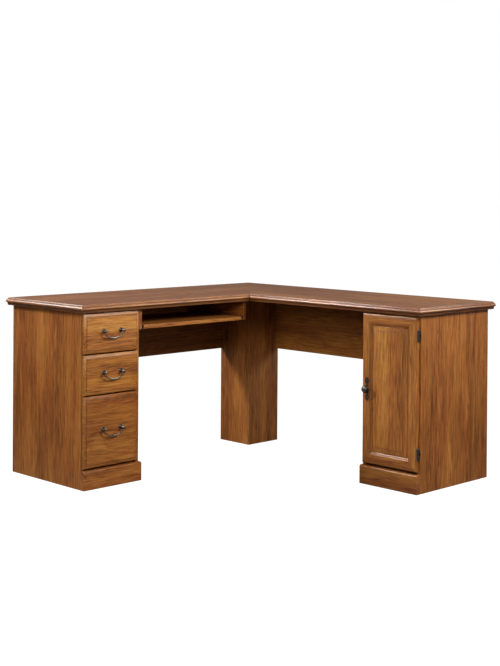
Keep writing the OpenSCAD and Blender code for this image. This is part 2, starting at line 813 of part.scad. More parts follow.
// Magnetic catch on the inner panel, and its strike plate on the door's back
catch_z = 655;
module catch() {
    x = pedestal_w - board_t;
    color([0.85, 0.84, 0.80]) at_right() {
        block([x - 14, 0, catch_z - 9], [x, 28, catch_z + 9]);
        block([x - 4, 28 - eps, catch_z - 18], [x, 38, catch_z + 18]);
    }
}
module catch_strike() {
    x = pedestal_w - board_t;
    color(steel) at_right() {
        block([x - 16, -front_gap, catch_z - 11], [x - 1, -front_gap + 1.2, catch_z + 11]);
    }
}

left_top_board();
right_top_board();
left_front_moulding();
left_end_moulding();
right_front_moulding();
right_end_moulding();
top_rails();
mitre_plates();
left_end_panel();
left_inner_panel();
left_back_panel();
left_bottom_board();
left_base_moulding();
right_end_panel();
right_inner_panel();
right_back_panel();
right_bottom_board();
right_base_moulding();
corner_leg_left();
corner_leg_right();
left_modesty_panel();
right_modesty_panel();
cam_locks();
back_nails();
left_shelf_bracket();
right_shelf_bracket();
keyboard_shelf();
keyboard_slide_channels();
keyboard_slide_runners();
drawer_slide_channels();
drawer_front(0);  // upper_drawer_front
drawer_box(0);  // upper_drawer_box
drawer_bottom(0);  // upper_drawer_bottom
drawer_runners(0);  // upper_drawer_runners
pull_posts(0);  // upper_pull_posts
pull_bail(0);  // upper_pull_bail
drawer_front(1);  // middle_drawer_front
drawer_box(1);  // middle_drawer_box
drawer_bottom(1);  // middle_drawer_bottom
drawer_runners(1);  // middle_drawer_runners
pull_posts(1);  // middle_pull_posts
pull_bail(1);  // middle_pull_bail
drawer_front(2);  // file_drawer_front
drawer_box(2);  // file_drawer_box
drawer_bottom(2);  // file_drawer_bottom
drawer_runners(2);  // file_drawer_runners
pull_posts(2);  // file_pull_posts
pull_bail(2);  // file_pull_bail
file_rails();
cupboard_shelf();
shelf_pins();
door_frame();
door_panel();
hinge_frame_leaves();
hinge_door_leaves();
hinge_pins();
door_knob();
knob_backplate();
catch();
catch_strike();
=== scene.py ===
import json
import random
from math import cos, pi, radians, sin

import bmesh
import bpy
from mathutils import Matrix, Vector


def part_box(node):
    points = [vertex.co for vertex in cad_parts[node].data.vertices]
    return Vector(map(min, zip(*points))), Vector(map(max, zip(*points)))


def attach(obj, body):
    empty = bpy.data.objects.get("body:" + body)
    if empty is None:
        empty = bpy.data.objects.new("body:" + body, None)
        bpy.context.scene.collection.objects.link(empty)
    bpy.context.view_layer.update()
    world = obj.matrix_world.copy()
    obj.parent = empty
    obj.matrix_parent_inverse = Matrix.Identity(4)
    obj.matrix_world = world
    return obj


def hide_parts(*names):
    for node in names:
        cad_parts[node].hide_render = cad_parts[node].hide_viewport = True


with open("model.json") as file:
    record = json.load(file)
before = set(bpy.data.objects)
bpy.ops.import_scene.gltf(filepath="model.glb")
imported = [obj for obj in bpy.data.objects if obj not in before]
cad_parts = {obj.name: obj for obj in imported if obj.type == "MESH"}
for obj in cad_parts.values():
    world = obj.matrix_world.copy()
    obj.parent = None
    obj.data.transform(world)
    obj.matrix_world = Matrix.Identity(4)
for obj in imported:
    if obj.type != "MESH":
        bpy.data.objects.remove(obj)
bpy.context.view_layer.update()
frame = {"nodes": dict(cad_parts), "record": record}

# Corner desk. Everything is in metres in the CAD frame: the left wing runs along Y and faces +X,
# the right wing runs along X and faces -Y, and Z is up.

MM = 0.001
NODE_BODY = {node: body for body, nodes in frame["record"]["behaviour"]["bodies"].items() for node in nodes}
NODE_SLOT = {part["node"]: part["material_slot"] for part in frame["record"]["subparts"]}
X, Y, Z = Vector((1, 0, 0)), Vector((0, 1, 0)), Vector((0, 0, 1))


# ---------------------------------------------------------------- camera, lights, floor

CAMERA_PLACE = Vector((3.8642, -3.8162, 1.2043))
# Turns about Z, X and the line of sight
CAMERA_HEADING, CAMERA_TILT, CAMERA_ROLL = radians(45.377), radians(89.626), radians(0.384)
CAMERA_LENS_MM = 68.42
CAMERA_SHIFT = -0.196


def make_camera():
    """Eye height, in front of the inner corner, with a shift that keeps uprights upright."""
    data = bpy.data.cameras.new("camera")
    data.lens = CAMERA_LENS_MM
    data.shift_y = CAMERA_SHIFT
    camera = bpy.data.objects.new("camera", data)
    bpy.context.scene.collection.objects.link(camera)
    turn = Matrix.Rotation(CAMERA_HEADING, 4, "Z") @ Matrix.Rotation(CAMERA_TILT, 4, "X")
    turn = turn @ Matrix.Rotation(CAMERA_ROLL, 4, "Z")
    camera.matrix_world = Matrix.Translation(CAMERA_PLACE) @ turn
    bpy.context.scene.camera = camera


def softbox(name, place, aim, size, beam, watts):
    """Square studio light at place that points at aim, with a grid that narrows its beam."""
    data = bpy.data.lights.new(name, "AREA")
    data.shape = "SQUARE"
    data.size = size
    data.spread = radians(beam)
    data.energy = watts
    data.color = LAMP_COLOUR
    lamp = bpy.data.objects.new(name, data)
    bpy.context.scene.collection.objects.link(lamp)
    lamp.visible_camera = False
    lamp.location = place
    lamp.rotation_euler = (Vector(aim) - Vector(place)).to_track_quat("-Z", "Y").to_euler()


LAMP_COLOUR = (1.0, 0.985, 0.96)
AMBIENT = 0.17
# What the side behind the desk adds to the ambient light, and the direction it lies in
BACKDROP = 0.08
BACKDROP_WAY = (-0.7071, 0.7071, 0.0)
# Name, place, point aimed at, side, beam in degrees, watts
SOFTBOXES = (
    ("left_softbox", (-2.55, -2.45, 2.75), (0.1, 0.4, 0.45), 0.8, 60, 16),
    ("left_rim_softbox", (-2.75, -1.55, 2.7), (-0.5, -0.73, 0.74), 1.1, 50, 3.5),
    ("rear_right_softbox", (2.9, 2.8, 1.9), (-0.3, 0.1, 0.5), 1.3, 80, 9),
    ("front_softbox", (1.5, -3.4, 1.9), (0.1, 0.0, 0.5), 1.2, 90, 13),
    ("front_right_softbox", (2.9, -2.2, 2.3), (0.0, 0.0, 0.5), 1.0, 90, 8),
    ("right_softbox", (2.4, 0.4, 2.3), (-0.2, -0.2, 0.4), 0.8, 80, 15),
)


def make_lights():
    """Dim studio with a white backdrop behind the desk, seen pure white, and the softboxes."""
    world = bpy.data.worlds.new("studio")
    bpy.context.scene.world = world
    world.use_nodes = True
    nodes, links = world.node_tree.nodes, world.node_tree.links
    surround = nodes["Background"]
    surround.inputs["Color"].default_value = (1.0, 0.99, 0.975, 1)
    towards = nodes.new("ShaderNodeVectorMath")
    towards.operation = "DOT_PRODUCT"
    towards.inputs[1].default_value = BACKDROP_WAY
    links.new(nodes.new("ShaderNodeTexCoord").outputs["Generated"], towards.inputs[0])
    glow = nodes.new("ShaderNodeMapRange")
    glow.interpolation_type = "SMOOTHSTEP"
    limits = {"From Min": 0.35, "From Max": 0.85, "To Min": AMBIENT, "To Max": AMBIENT + BACKDROP}
    for socket, value in limits.items():
        glow.inputs[socket].default_value = value
    links.new(towards.outputs["Value"], glow.inputs["Value"])
    links.new(glow.outputs["Result"], surround.inputs["Strength"])
    backdrop = nodes.new("ShaderNodeBackground")
    backdrop.inputs["Color"].default_value = (1, 1, 1, 1)
    backdrop.inputs["Strength"].default_value = 1.0
    path = nodes.new("ShaderNodeLightPath")
    mix = nodes.new("ShaderNodeMixShader")
    links.new(path.outputs["Is Camera Ray"], mix.inputs[0])
    links.new(surround.outputs[0], mix.inputs[1])
    links.new(backdrop.outputs[0], mix.inputs[2])
    links.new(mix.outputs[0], nodes["World Output"].inputs["Surface"])
    for name, place, aim, size, beam, watts in SOFTBOXES:
        softbox(name, place, aim, size, beam, watts)


FLOOR_HALF = 30.0
FLOOR_GREYS = (0.145, 0.165)


def make_floor():
    """Floor much larger than the view: uneven grey paint that only camera rays see as lit, pure white."""
    corners = [(x * FLOOR_HALF, y * FLOOR_HALF, 0) for x, y in ((-1, -1), (1, -1), (1, 1), (-1, 1))]
    mesh = bpy.data.meshes.new("floor")
    mesh.from_pydata(corners, [], [(0, 1, 2, 3)])
    floor = bpy.data.objects.new("floor", mesh)
    bpy.context.scene.collection.objects.link(floor)
    g = Graph("floor_paint")
    cloud = g.noise(g.coords(), 1.2, 3)
    colour = g.ramp(cloud, list(zip((0.3, 0.7), FLOOR_GREYS)))
    seen = g.node("ShaderNodeLightPath").outputs["Is Camera Ray"]
    g.surface(colour, g.span(cloud, 0.3, 0.7, 0.75, 0.85), Emission_Color=(1, 1, 1), Emission_Strength=seen,
              Specular_IOR_Level=0.0)
    mesh.materials.append(g.material)


# ---------------------------------------------------------------- shader building

class Graph:
    """One procedural material. Inputs may be numbers, tuples or the outputs of other calls."""

    def __init__(self, name):
        self.material = bpy.data.materials.new(name)
        self.material.use_nodes = True
        self.tree = self.material.node_tree
        self.shader = self.tree.nodes["Principled BSDF"]

    def put(self, socket, value):
        if isinstance(value, bpy.types.NodeSocket):
            self.tree.links.new(value, socket)
        elif isinstance(value, (tuple, Vector)) and len(value) == 3 and socket.type == "RGBA":
            socket.default_value = (*value, 1)
        else:
            socket.default_value = value

    def node(self, kind, inputs=(), **settings):
        made = self.tree.nodes.new(kind)
        for key, value in settings.items():
            setattr(made, key, value)
        for key, value in dict(inputs).items():
            self.put(made.inputs[key], value)
        return made

    def coords(self):
        return self.node("ShaderNodeTexCoord").outputs["Object"]

    def attribute(self, name):
        return self.node("ShaderNodeAttribute", attribute_name=name).outputs["Fac"]

    def math(self, kind, a, b=0.0, clamp=False):
        return self.node("ShaderNodeMath", {0: a, 1: b}, operation=kind, use_clamp=clamp).outputs[0]

    def span(self, value, low, high, out_low=0.0, out_high=1.0):
        """Smooth step of value from low to high, carried to out_low..out_high."""
        made = self.node("ShaderNodeMapRange", {"Value": value, "From Min": low, "From Max": high,
                                                "To Min": out_low, "To Max": out_high},
                         interpolation_type="SMOOTHSTEP")
        return made.outputs["Result"]

    def stretch(self, vector, scale, offset=(0, 0, 0)):
        made = self.node("ShaderNodeMapping", {"Vector": vector, "Scale": scale, "Location": offset})
        return made.outputs["Vector"]

    def noise(self, vector, scale=1.0, detail=2.0, rough=0.5, distortion=0.0):
        made = self.node("ShaderNodeTexNoise", {"Vector": vector, "Scale": scale, "Detail": detail,
                                                "Roughness": rough, "Distortion": distortion})
        return made.outputs["Fac"]

    def ramp(self, value, stops):
        """Blend through stops of (place, colour), where a colour may be one grey value."""
        made = self.node("ShaderNodeValToRGB", {"Fac": value})
        band = made.color_ramp
        while len(band.elements) < len(stops):
            band.elements.new(1.0)
        for element, (place, colour) in zip(band.elements, stops):
            element.position = place
            element.color = (*colour, 1) if isinstance(colour, tuple) else (colour, colour, colour, 1)
        return made.outputs["Color"]

    def mix(self, share, a, b, blend="MIX"):
        """Colour a mixed with b. Sockets 6 and 7 and output 2 are the node's colour ones."""
        return self.node("ShaderNodeMix", {"Factor": share, 6: a, 7: b}, data_type="RGBA",
                         blend_type=blend).outputs[2]

    def surface(self, colour, rough, height=None, depth=0.0, bump=1.0, **sockets):
        """Colour, roughness and bump of the shader, and any of its sockets by name, with _ for a space."""
        self.put(self.shader.inputs["Base Color"], colour)
        self.put(self.shader.inputs["Roughness"], rough)
        for key, value in sockets.items():
            self.put(self.shader.inputs[key.replace("_", " ")], value)
        if height is not None:
            made = self.node("ShaderNodeBump", {"Height": height, "Distance": depth, "Strength": bump})
            self.put(self.shader.inputs["Normal"], made.outputs["Normal"])


# ---------------------------------------------------------------- wood

AXES = {"x": 0, "y": 1, "z": 2}
RING_PITCH = 8.5 * MM
PORE_COLOUR = (0.050, 0.016, 0.006)
# Painted shade: the dark colour laid where shade falls in grooves, recesses and under steps
PAINTED_SHADE_COLOUR = (0.050, 0.017, 0.005)
RUBBED_COLOUR = (0.40, 0.23, 0.12)
# From the darkest streaks to the lightest
OAK_STOPS = ((0.08, (0.066, 0.0165, 0.004)), (0.32, (0.165, 0.046, 0.008)), (0.52, (0.266, 0.083, 0.014)),
             (0.72, (0.360, 0.125, 0.022)), (0.95, (0.470, 0.190, 0.040)))
HUE_STOPS = ((0.3, (1.0, 0.92, 0.95)), (0.7, (1.0, 1.11, 1.0)))
# Pale early wood, then a dense late ring that ends abruptly
RING_STOPS = ((0.0, 0.05), (0.45, 0.16), (0.86, 1.0), (0.97, 0.3), (1.0, 0.05))


def growth_rings(g, board, local, width, draw, start):
    """Rings around a heart line that rises slowly towards the face, and the jitter that roughens them."""
    warp = g.noise(g.stretch(board, (1.7, 9, 9), start), 1, 2, 0.55)
    heart_side = draw.uniform(-0.22, 0.22) * width
    heart_depth = draw.uniform(0.045, 0.075)
    rise = draw.choice((-1, 1)) * draw.uniform(0.05, 0.09)
    wander = 22 * MM
    side = g.math("ADD", local[1], g.span(warp, 0.3, 0.7, heart_side - wander, heart_side + wander))
    depth = g.math("ADD", local[2], g.math("ADD", g.math("MULTIPLY", local[0], rise), heart_depth))
    squares = g.math("ADD", g.math("MULTIPLY", side, side), g.math("MULTIPLY", depth, depth))
    jitter = g.noise(g.stretch(board, (9, 90, 90), start), 1, 3, 0.6)
    turns = g.math("DIVIDE", g.math("SQRT", squares), RING_PITCH)
    turns = g.math("ADD", turns, g.math("MULTIPLY", jitter, 0.9))
    return g.ramp(g.math("FRACT", turns), RING_STOPS), jitter


def paint_shade_bands(g, colour, place, bands, strength):
    """Painted shade: the colour darkened where place lies in one of the bands of (from, to, fade)."""
    for low, high, fade in bands:
        inner = g.span(place, low - fade, low)
        outer = g.span(place, high, high + fade, 1.0, 0.0)
        amount = g.math("MULTIPLY", g.math("MULTIPLY", inner, outer), strength)
        colour = g.mix(amount, colour, PAINTED_SHADE_COLOUR)
    return colour


def wood(name, grain, box, seed, tint=(1, 1, 1), gloss=0.40, coat=(0.06, 0.2), painted_shade_inset=(),
         painted_shade_face=1, painted_shade_depth=()):
    """Flat-sawn oak in a satin lacquer. The grain runs along the axis named; box is the board's own box.

    gloss is the middle roughness and coat the lacquer's weight and roughness. Painted shade lies in dark
    bands where shade falls in grooves, recesses and under steps: the inset bands are distances from the
    board's rim, on the face that looks the way of the face sign along the thickness, and the depth bands are
    distances below its top.
    """
    draw = random.Random(seed)
    lo, hi = Vector(box[0]), Vector(box[1])
    sizes, middle = hi - lo, (lo + hi) / 2
    along = AXES[grain]
    wide, thick = sorted((a for a in range(3) if a != along), key=lambda a: -sizes[a])
    g = Graph(name)
    split = g.node("ShaderNodeSeparateXYZ", {0: g.coords()})
    local = [g.math("SUBTRACT", split.outputs[a], middle[a]) for a in (along, wide, thick)]
    board = g.node("ShaderNodeCombineXYZ", dict(enumerate(local))).outputs[0]
    start = tuple(draw.uniform(-40, 40) for _ in range(3))
    ring, jitter = growth_rings(g, board, local, sizes[wide], draw, start)

    # Broad streaks, smudges, fibres and pores, each stretched along the grain
    drift = g.noise(g.stretch(board, (1.3, 11, 11), start), 1, 2, 0.55, 0.2)
    hue = g.noise(g.stretch(board, (1.8, 23, 23), start), 1, 2, 0.5)
    streak = g.noise(g.stretch(board, (2.8, 120, 120), start), 1, 4, 0.62, 0.1)
    smudge = g.noise(g.stretch(board, (5.5, 40, 40), start), 1, 3, 0.6, 0.3)
    fibre = g.noise(g.stretch(board, (12, 330, 330), start), 1, 3, 0.65)
    pore = g.noise(g.stretch(board, (30, 470, 470), start), 1, 2, 0.6)
    pores = g.math("MULTIPLY", g.span(pore, 0.56, 0.68), g.span(ring, 0.1, 0.8, 0.35, 1.0))

    shade = g.math("MULTIPLY", g.math("SUBTRACT", streak, 0.5), 0.70)
    for part, share in ((drift, 0.95), (smudge, 0.30), (fibre, 1.45)):
        shade = g.math("ADD", shade, g.math("MULTIPLY", g.math("SUBTRACT", part, 0.5), share))
    shade = g.math("SUBTRACT", shade, g.math("MULTIPLY", g.math("MULTIPLY", ring, jitter), 0.26))
    shade = g.math("ADD", shade, 0.60, clamp=True)
    colour = g.mix(1.0, g.ramp(shade, OAK_STOPS), tint, "MULTIPLY")
    colour = g.mix(1.0, colour, g.ramp(hue, HUE_STOPS), "MULTIPLY")
    colour = g.mix(g.math("MULTIPLY", pores, 0.62), colour, PORE_COLOUR)

    # Painted shade laid unevenly into grooves and recesses, and lacquer rubbed pale on worn edges
    painted_shade_share = g.span(drift, 0.25, 0.7, 0.45, 0.65)
    if painted_shade_inset:
        gaps = [g.math("SUBTRACT", sizes[a] / 2, g.math("ABSOLUTE", value))
                for a, value in zip((along, wide), local)]
        on_face = g.span(g.math("MULTIPLY", local[2], painted_shade_face), -2 * MM, 0)
        colour = paint_shade_bands(g, colour, g.math("MINIMUM", *gaps), painted_shade_inset, g.math("MULTIPLY", painted_shade_share, on_face))
    if painted_shade_depth:
        colour = paint_shade_bands(g, colour, g.math("SUBTRACT", hi[2], split.outputs[2]), painted_shade_depth, painted_shade_share)
    rub = g.math("MULTIPLY", g.attribute("wear"), g.span(smudge, 0.35, 0.65, 0.08, 0.35))
    colour = g.mix(rub, colour, RUBBED_COLOUR)

    rough = g.span(smudge, 0.3, 0.7, gloss - 0.05, gloss + 0.06)
    rough = g.math("ADD", rough, g.math("MULTIPLY", pores, 0.2))
    dents = g.math("ADD", pores, g.math("MULTIPLY", ring, 0.2))
    relief = g.math("SUBTRACT", g.math("MULTIPLY", fibre, 0.35), dents)
    g.surface(colour, rough, relief, 0.12 * MM, 0.7, Specular_IOR_Level=0.45, Coat_Weight=coat[0],
              Coat_Roughness=coat[1])
    return g.material


# ---------------------------------------------------------------- other materials

def fibreboard(name):
    """Hardboard: matted brown fibres, darker flecks, nearly matte."""
    g = Graph(name)
    place = g.coords()
    mat = g.noise(place, 900, 3, 0.7)
    fleck = g.noise(g.stretch(place, (260, 300, 520)), 1, 2)
    cloud = g.noise(place, 9, 3)
    colour = g.ramp(mat, [(0.25, (0.10, 0.052, 0.025)), (0.55, (0.165, 0.090, 0.045)),
                          (0.85, (0.235, 0.140, 0.078))])
    colour = g.mix(g.span(fleck, 0.60, 0.70, 0.0, 0.6), colour, (0.055, 0.028, 0.014))
    colour = g.mix(g.span(cloud, 0.35, 0.7, 0.0, 0.3), colour, (0.21, 0.125, 0.070))
    g.surface(colour, g.span(mat, 0.2, 0.8, 0.62, 0.78), mat, 0.15 * MM, 0.6)
    return g.material


def drawer_foil(name):
    """Pale maple-print foil on the drawer boxes."""
    g = Graph(name)
    place = g.coords()
    grain = g.noise(g.stretch(place, (7, 60, 190)), 1, 4, 0.6)
    line = g.noise(g.stretch(place, (30, 700, 900)), 1, 2)
    colour = g.ramp(grain, [(0.3, (0.42, 0.29, 0.17)), (0.55, (0.53, 0.39, 0.24)),
                            (0.8, (0.60, 0.46, 0.30))])
    colour = g.mix(g.span(line, 0.58, 0.72, 0.0, 0.35), colour, (0.33, 0.21, 0.11))
    g.surface(colour, g.span(grain, 0.3, 0.7, 0.42, 0.52), line, 0.05 * MM, 0.4)
    return g.material


def plated_steel(name):
    """Zinc plate: a faint spangle, drawn lines along X and a few dull patches."""
    g = Graph(name)
    place = g.coords()
    spangle = g.noise(place, 160, 2)
    drawn = g.noise(g.stretch(place, (20, 900, 900)), 1, 2)
    dull = g.noise(place, 22, 3)
    colour = g.ramp(spangle, [(0.3, (0.46, 0.46, 0.45)), (0.7, (0.62, 0.62, 0.60))])
    colour = g.mix(g.span(dull, 0.5, 0.75, 0.0, 0.5), colour, (0.36, 0.35, 0.33))
    colour = g.mix(g.math("MULTIPLY", g.attribute("wear"), 0.5), colour, (0.74, 0.74, 0.73))
    g.surface(colour, g.span(dull, 0.3, 0.75, 0.27, 0.45), drawn, 0.02 * MM, 0.5, Metallic=1.0)
    return g.material


def black_enamel(name):
    """Baked black paint with an orange-peel skin, rubbed to brown metal along its edges."""
    g = Graph(name)
    place = g.coords()
    peel = g.noise(place, 700, 2)
    scuff = g.noise(place, 130, 4, 0.7)
    colour = g.ramp(scuff, [(0.3, (0.010, 0.009, 0.008)), (0.75, (0.026, 0.023, 0.020))])
    rubbed = g.math("MULTIPLY", g.attribute("wear"), g.span(scuff, 0.45, 0.62))
    colour = g.mix(rubbed, colour, (0.17, 0.14, 0.11))
    g.surface(colour, g.span(scuff, 0.3, 0.7, 0.30, 0.44), peel, 0.04 * MM, 0.5, Specular_IOR_Level=0.6)
    return g.material


def aged_pewter(name):
    """Cast metal, blackened and then rubbed back on its high spots."""
    g = Graph(name)
    place = g.coords()
    pit = g.noise(place, 900, 3, 0.65)
    patch = g.noise(place, 170, 4, 0.7)
    uneven = g.math("MULTIPLY", g.math("SUBTRACT", patch, 0.5), 0.8)
    rubbed = g.span(g.math("ADD", g.attribute("wear"), uneven), 0.1, 0.9)
    colour = g.mix(rubbed, (0.060, 0.046, 0.036), (0.34, 0.295, 0.25))
    colour = g.mix(g.span(pit, 0.62, 0.74, 0.0, 0.5), colour, (0.020, 0.015, 0.012))
    rough = g.span(rubbed, 0.0, 1.0, 0.46, 0.33)
    relief = g.math("ADD", pit, g.math("MULTIPLY", patch, 0.8))
    g.surface(colour, rough, relief, 0.05 * MM, 0.6, Metallic=0.95)
    return g.material


def moulded_plastic(name):
    """Off-white plastic with a fine spark-eroded texture and slight yellowing."""
    g = Graph(name)
    place = g.coords()
    grainy = g.noise(place, 1600, 2)
    cloud = g.noise(place, 45, 3)
    colour = g.ramp(cloud, [(0.3, (0.62, 0.60, 0.54)), (0.7, (0.72, 0.71, 0.66))])
    g.surface(colour, g.span(grainy, 0.3, 0.7, 0.42, 0.55), grainy, 0.03 * MM, 0.4)
    return g.material


# ---------------------------------------------------------------- mesh helpers

# An edge that turns by more than this is an arris
SHARP = radians(32)
WELD = 0.01 * MM


def wear_layer(bm):
    """How far each face is rubbed, 0 to 1, which the materials read as the attribute wear."""
    return bm.faces.layers.float.get("wear") or bm.faces.layers.float.new("wear")


def piece_from(bm, name, node, materials):
    """Makes the object for a finished mesh, in place of a CAD node."""
    bmesh.ops.remove_doubles(bm, verts=bm.verts, dist=WELD / 2)
    bmesh.ops.recalc_face_normals(bm, faces=bm.faces)
    for face in bm.faces:
        face.smooth = True
    for edge in bm.edges:
        edge.smooth = len(edge.link_faces) == 2 and edge.calc_face_angle(0) < SHARP
    mesh = bpy.data.meshes.new(name)
    bm.to_mesh(mesh)
    bm.free()
    for material in materials:
        mesh.materials.append(material)
    piece = bpy.data.objects.new(name, mesh)
    bpy.context.scene.collection.objects.link(piece)
    weighted = piece.modifiers.new("face_weighted_normals", "WEIGHTED_NORMAL")
    weighted.keep_sharp = True
    weighted.weight = 90
    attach(piece, NODE_BODY[node])
    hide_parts(node)


def soften(bm, radius, segments):
    """Rounds every arris and marks the new faces as worn."""
    layer = wear_layer(bm)
    sharp = [e for e in bm.edges if len(e.link_faces) == 2 and e.calc_face_angle(0) > SHARP]
    made = bmesh.ops.bevel(bm, geom=sharp, offset=radius, offset_type="OFFSET", segments=segments,
                           profile=0.5, affect="EDGES", clamp_overlap=True)
    for face in made["faces"]:
        face[layer] = 1.0


def softened(node, radius, materials, segments=2, choose=None, wear=0.0):
    """The CAD node's own shape with its arrises rounded, as sanding and lacquer leave them.

    choose(point) gives the number of the material for a face with its middle there.
    """
    bm = bmesh.new()
    bm.from_mesh(frame["nodes"][node].data)
    bmesh.ops.remove_doubles(bm, verts=bm.verts, dist=WELD)
    bmesh.ops.dissolve_limit(bm, angle_limit=radians(0.5), verts=bm.verts, edges=bm.edges)
    layer = wear_layer(bm)
    for face in bm.faces:
        face[layer] = wear
        face.material_index = 0
    soften(bm, radius, segments)
    if choose:
        for face in bm.faces:
            face.material_index = choose(face.calc_center_median())
    piece_from(bm, node + "_softened", node, materials)


def arc(cx, cy, radius, start, end, steps):
    """Points on an arc, angles in degrees."""
    turn = [radians(start + (end - start) * i / steps) for i in range(steps + 1)]
    return [(cx + radius * cos(a), cy + radius * sin(a)) for a in turn]


def skin(bm, rings, wear):
    """Joins rings of points into a closed tube; a ring may be a single point. wear has a value per gap."""
    layer = wear_layer(bm)
    loops = [[bm.verts.new(p) for p in ring] for ring in rings]
    for near, far, rub in zip(loops, loops[1:], wear):
        sides = max(len(near), len(far))
        for i in range(sides):
            j = (i + 1) % sides
            corners = [near[i % len(near)], near[j % len(near)], far[j % len(far)], far[i % len(far)]]
            face = bm.faces.new(list(dict.fromkeys(corners)))
            face[layer] = rub
    for loop, rub in ((loops[0], wear[0]), (loops[-1], wear[-1])):
        if len(loop) > 2:
            bm.faces.new(loop)[layer] = rub


def revolve(bm, foot, axis, side, profile, segments):
    """Turned shape from (radius, distance along the axis, wear) in millimetres."""
    other = axis.cross(side)
    rings = []
    for r, along, _ in profile:
        middle = foot + axis * (along * MM)
        if r < 1e-6:
            rings.append([middle])
        else:
            turns = [2 * pi * k / segments for k in range(segments)]
            rings.append([middle + side * (r * MM * cos(t)) + other * (r * MM * sin(t)) for t in turns])
    skin(bm, rings, [(a[2] + b[2]) / 2 for a, b in zip(profile, profile[1:])])


def sweep(bm, path, flat, sides):
    """Round bar along a path of (point, radius, wear) that lies in the plane square to flat."""
    rings = []
    for i, (point, r, _) in enumerate(path):
        run = (path[min(i + 1, len(path) - 1)][0] - path[max(i - 1, 0)][0]).normalized()
        across = run.cross(flat)
        turns = [2 * pi * k / sides for k in range(sides)]
        rings.append([point + across * (r * cos(t)) + flat * (r * sin(t)) for t in turns])
    skin(bm, rings, [(a[2] + b[2]) / 2 for a, b in zip(path, path[1:])])


# ---------------------------------------------------------------- pulls and knob

DRAWERS = ("upper", "middle", "file")
# Distances out from the face of the drawer or door, lengths and radii, all in millimetres
PIVOT_OUT = 16
BALL_R = 7.0
POST_BACK = -28.0
KNOB_BACK = -16
BOLT_R = 2
BOLT_HEAD_R = 4
BOLT_HEAD_H = 3
ARM_R = 2.1
GRIP_R = 3.8
PIN_LEN = 12
KNUCKLE_R = 3.0
# Where the two beads sit on the bail, as shares of the half turn from arm to arm
BEADS = (0.315, 0.685)


def bolt_head(back):
    """Profile of a bolt's head on the inside of the board, from its end to the foot of its shank."""
    end = back - BOLT_HEAD_H
    return [(0, end, 0.3), (BOLT_HEAD_R, end, 0.6), (BOLT_HEAD_R, back, 0.3), (BOLT_R, back, 0.1)]


def pull_centre(drawer):
    """Middle of a pull's pivot line, on the drawer's face plane, and half the distance between its posts."""
    lo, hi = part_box(drawer + "_pull_posts")
    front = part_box(drawer + "_drawer_front")[1][0]
    rosette = (hi[2] - lo[2]) / 2
    middle = Vector((front, (lo[1] + hi[1]) / 2, (lo[2] + hi[2]) / 2))
    return middle, (hi[1] - lo[1]) / 2 - rosette


def pull_posts(drawer, metal):
    """Two cast posts: a stepped rosette with a beaded rim, a collared neck and a ball."""
    middle, half = pull_centre(drawer)
    rosette = [(BOLT_R, 0.0, 0.1), (9.5, 0.0, 0.1), (10.0, 0.6, 0.5), (9.9, 1.4, 0.6), (9.3, 2.1, 0.4),
               (8.5, 2.2, 0.0), (8.2, 2.4, 0.0), (7.9, 3.1, 0.3), (7.2, 3.8, 0.4), (6.7, 4.3, 0.3)]
    neck = [(6.3, 4.6, 0.0), (6.1, 5.2, 0.3), (5.7, 5.7, 0.4), (5.1, 6.1, 0.1), (4.7, 7.2, 0.0),
            (4.6, 8.6, 0.0), (4.8, 9.4, 0.3), (4.9, 10.0, 0.4)]
    ball = [(BALL_R * cos(radians(a)), PIVOT_OUT + BALL_R * sin(radians(a)), 0.6 if a > -25 else 0.2)
            for a in range(-52, 91, 8)]
    tip = (0, PIVOT_OUT + BALL_R, 0.9)
    bm = bmesh.new()
    for s in (-1, 1):
        foot = middle + Y * (s * half)
        revolve(bm, foot, X, Y, [*bolt_head(POST_BACK), *rosette, *neck, *ball, tip], 36)
    piece_from(bm, drawer + "_posts_cast", drawer + "_pull_posts", [metal])


def pull_bail(drawer, metal):
    """Drop handle: thin arms that swell into a grip between two beads, with pins turned into the posts."""
    middle, half = pull_centre(drawer)
    pivot = middle + X * (PIVOT_OUT * MM)
    end = half + (BALL_R + 3.5) * MM
    drop = pivot[2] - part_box(drawer + "_pull_bail")[0][2] - GRIP_R * MM
    path = []
    steps = 88
    for i in range(steps + 1):
        a = pi * i / steps
        swell = sin(a) ** 8
        r = ARM_R + (GRIP_R - ARM_R) * swell
        rub = 0.25 + 0.65 * swell
        for bead in BEADS:
            near = max(0.0, 1 - ((a - bead * pi) / 0.055) ** 2)
            r += near
            rub = max(rub, near)
        path.append((pivot + Y * (end * cos(a)) - Z * (drop * max(sin(a), 0) ** 1.15), r * MM, rub))
    knuckle = [(KNUCKLE_R * sin(radians(t)), -KNUCKLE_R * cos(radians(t)), 0.5) for t in range(20, 161, 20)]
    pin = [(0, -PIN_LEN, 0.2), (1.7, -PIN_LEN, 0.2), (1.95, 0.3 - PIN_LEN, 0.2), (1.95, -3.2, 0.2)]
    bm = bmesh.new()
    sweep(bm, path, X, 16)
    for s in (-1, 1):
        revolve(bm, pivot + Y * (s * end), Y * s, X, [*pin, *knuckle, (0, KNUCKLE_R, 0.9)], 24)
    piece_from(bm, drawer + "_bail_cast", drawer + "_pull_bail", [metal])


